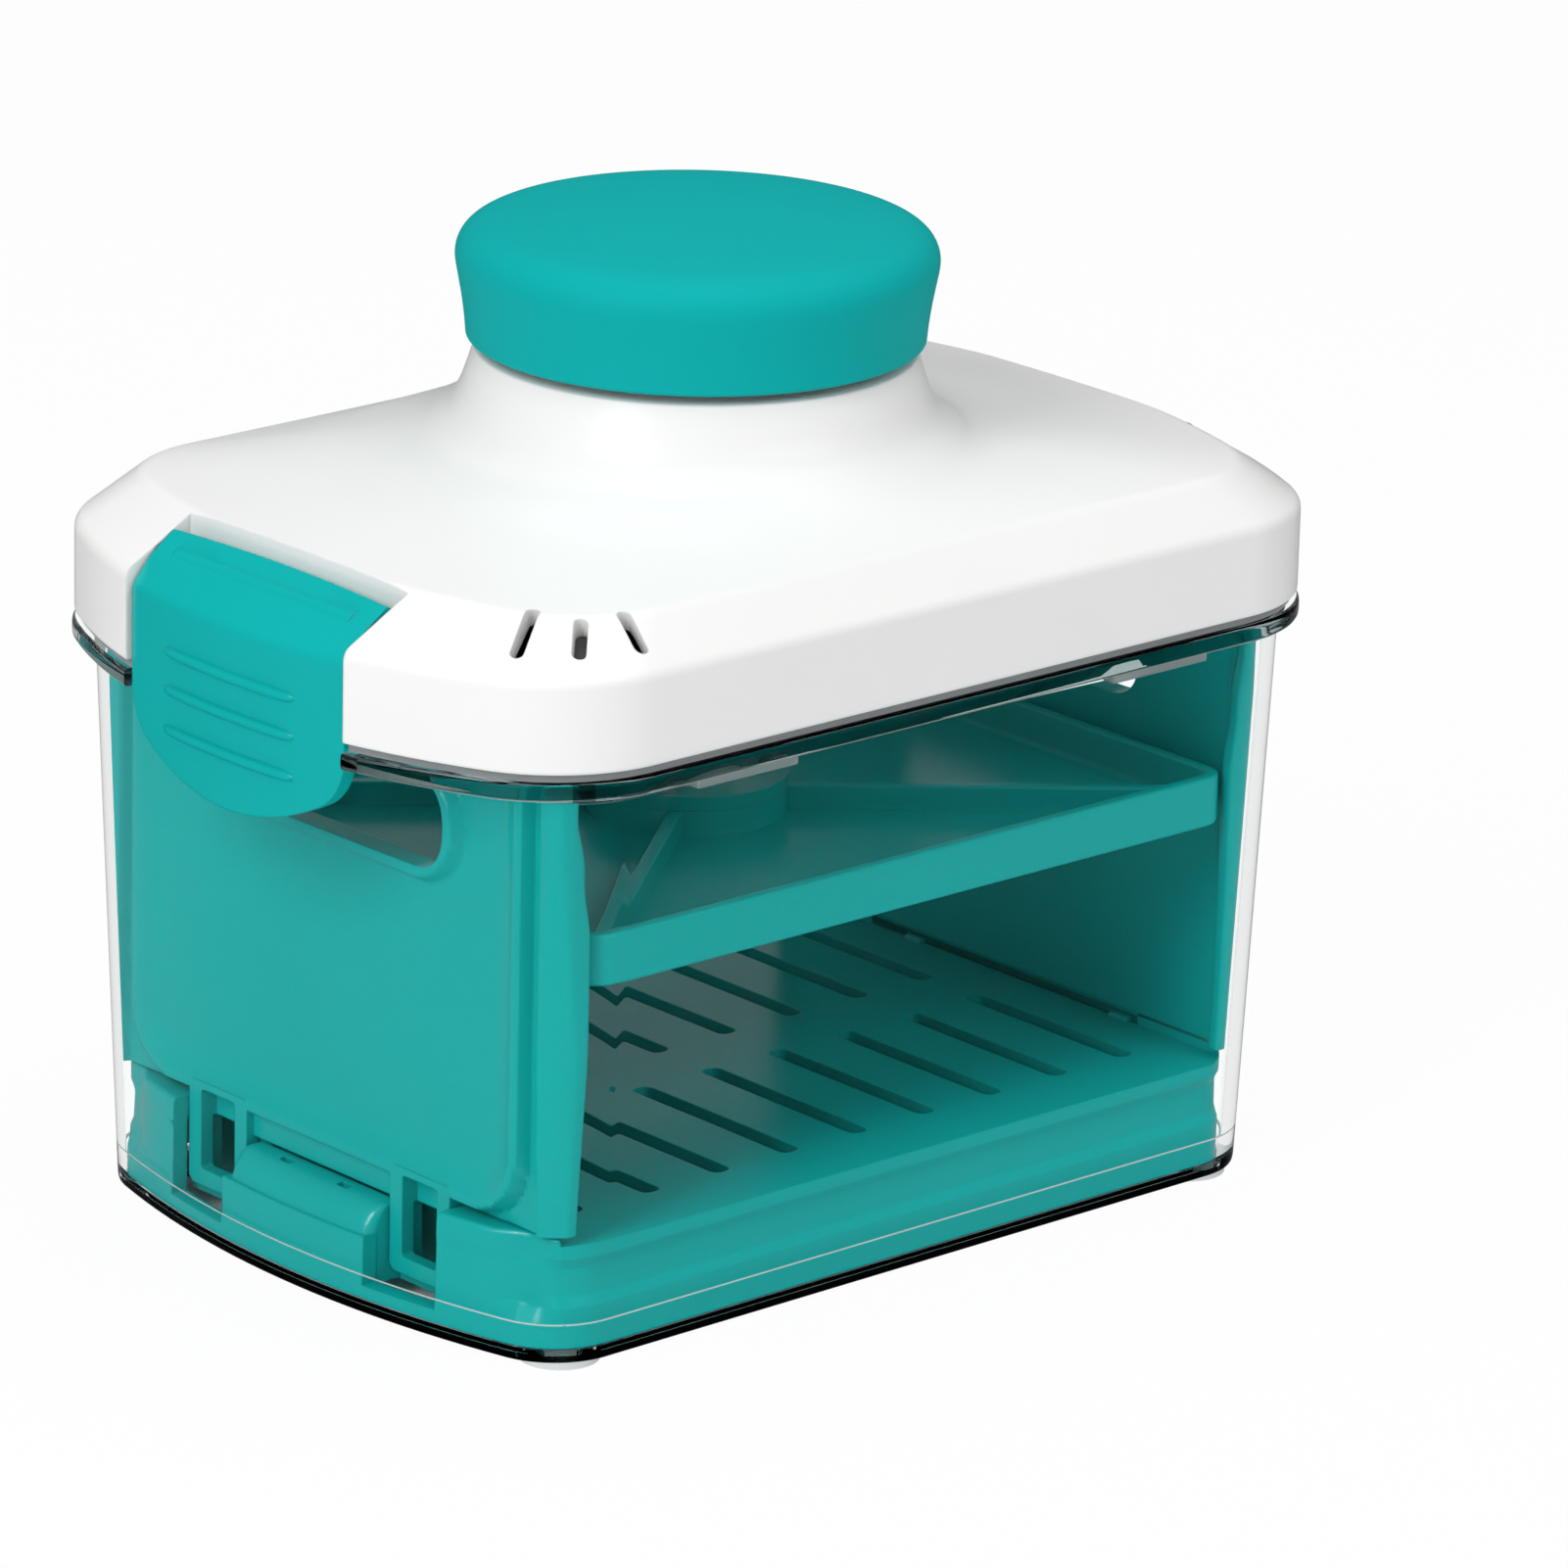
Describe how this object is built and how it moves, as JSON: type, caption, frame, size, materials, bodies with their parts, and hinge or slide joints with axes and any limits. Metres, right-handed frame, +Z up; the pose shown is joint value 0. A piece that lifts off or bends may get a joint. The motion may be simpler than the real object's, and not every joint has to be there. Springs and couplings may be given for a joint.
{
  "type": "yogurt press",
  "caption": "Screw-down yogurt and curd press: clear flared box, drain tray with hinged end walls, ribbed press plate on a screw rod, white clip-on lid with turn knob.",
  "frame": {"origin": "on the table under the centre of the whole press, at its lowest plane", "axes": "+X runs along the length towards the right latch, +Y towards the back, +Z up; the corner with the pouring slots is at -X -Y"},
  "size_m": [0.1578, 0.1062, 0.1343],
  "materials": {
    "clear_box": "clear polished plastic",
    "foot": "frosted soft pads",
    "teal_plastic": "satin moulded",
    "teal_soft": "soft matte",
    "white_plastic": "satin moulded",
    "seal": "matte gasket",
    "steel": "plain"
  },
  "bodies": {
    "box": {"container": "clear_box", "feet": "foot"},
    "cradle": {"drain_tray": "teal_plastic", "end_wall_left": "teal_plastic", "end_wall_right": "teal_plastic"},
    "lid": {"lid_shell": "white_plastic", "lid_liner": "white_plastic", "lid_seal": "seal", "lid_screws": "steel", "screw_nut": "white_plastic", "nut_screws": "steel", "latch_pin_left": "steel", "latch_pin_right": "steel"},
    "press": {"press_plate": "teal_plastic", "rod_retainer": "teal_plastic", "retainer_screws": "steel"},
    "knob": {"press_rod": "white_plastic", "knob_hub": "white_plastic", "knob_cap": "teal_soft", "hub_screws": "steel", "rod_screw": "steel"},
    "latch_l": {"latch_left": "teal_plastic"},
    "latch_r": {"latch_right": "teal_plastic"}
  },
  "joints": [
    {"name": "lid_lift", "type": "slide", "parent": "box", "child": "lid", "axis": [0, 0, 1], "range_m": [0, 0.15]},
    {"name": "cradle_lift", "type": "slide", "parent": "box", "child": "cradle", "axis": [0, 0, 1], "range_m": [0, 0.0755]},
    {"name": "press_slide", "type": "slide", "parent": "lid", "child": "press", "axis": [0, 0, 1], "range_m": [0, 0.01805]},
    {"name": "knob_turn", "type": "hinge", "parent": "press", "child": "knob", "pos_m": [0, 0, 0.12], "axis": [0, 0, 1], "range_deg": [0, 1440]},
    {"name": "latch_left_swing", "type": "hinge", "parent": "lid", "child": "latch_l", "pos_m": [-0.0716, 0, 0.0953], "axis": [0, 1, 0], "range_deg": [0, 105]},
    {"name": "latch_right_swing", "type": "hinge", "parent": "lid", "child": "latch_r", "pos_m": [0.0716, 0, 0.0953], "axis": [0, -1, 0], "range_deg": [0, 105]}
  ],
  "couplings": [
    {"joint": "cradle_lift", "follows": "lid_lift", "ratio": 0.5},
    {"joint": "latch_left_swing", "follows": "lid_lift", "rad_per_m": 12.2},
    {"joint": "latch_right_swing", "follows": "lid_lift", "rad_per_m": 12.2},
    {"joint": "press_slide", "follows": "knob_turn", "m_per_rad": 0.0007161}
  ]
}
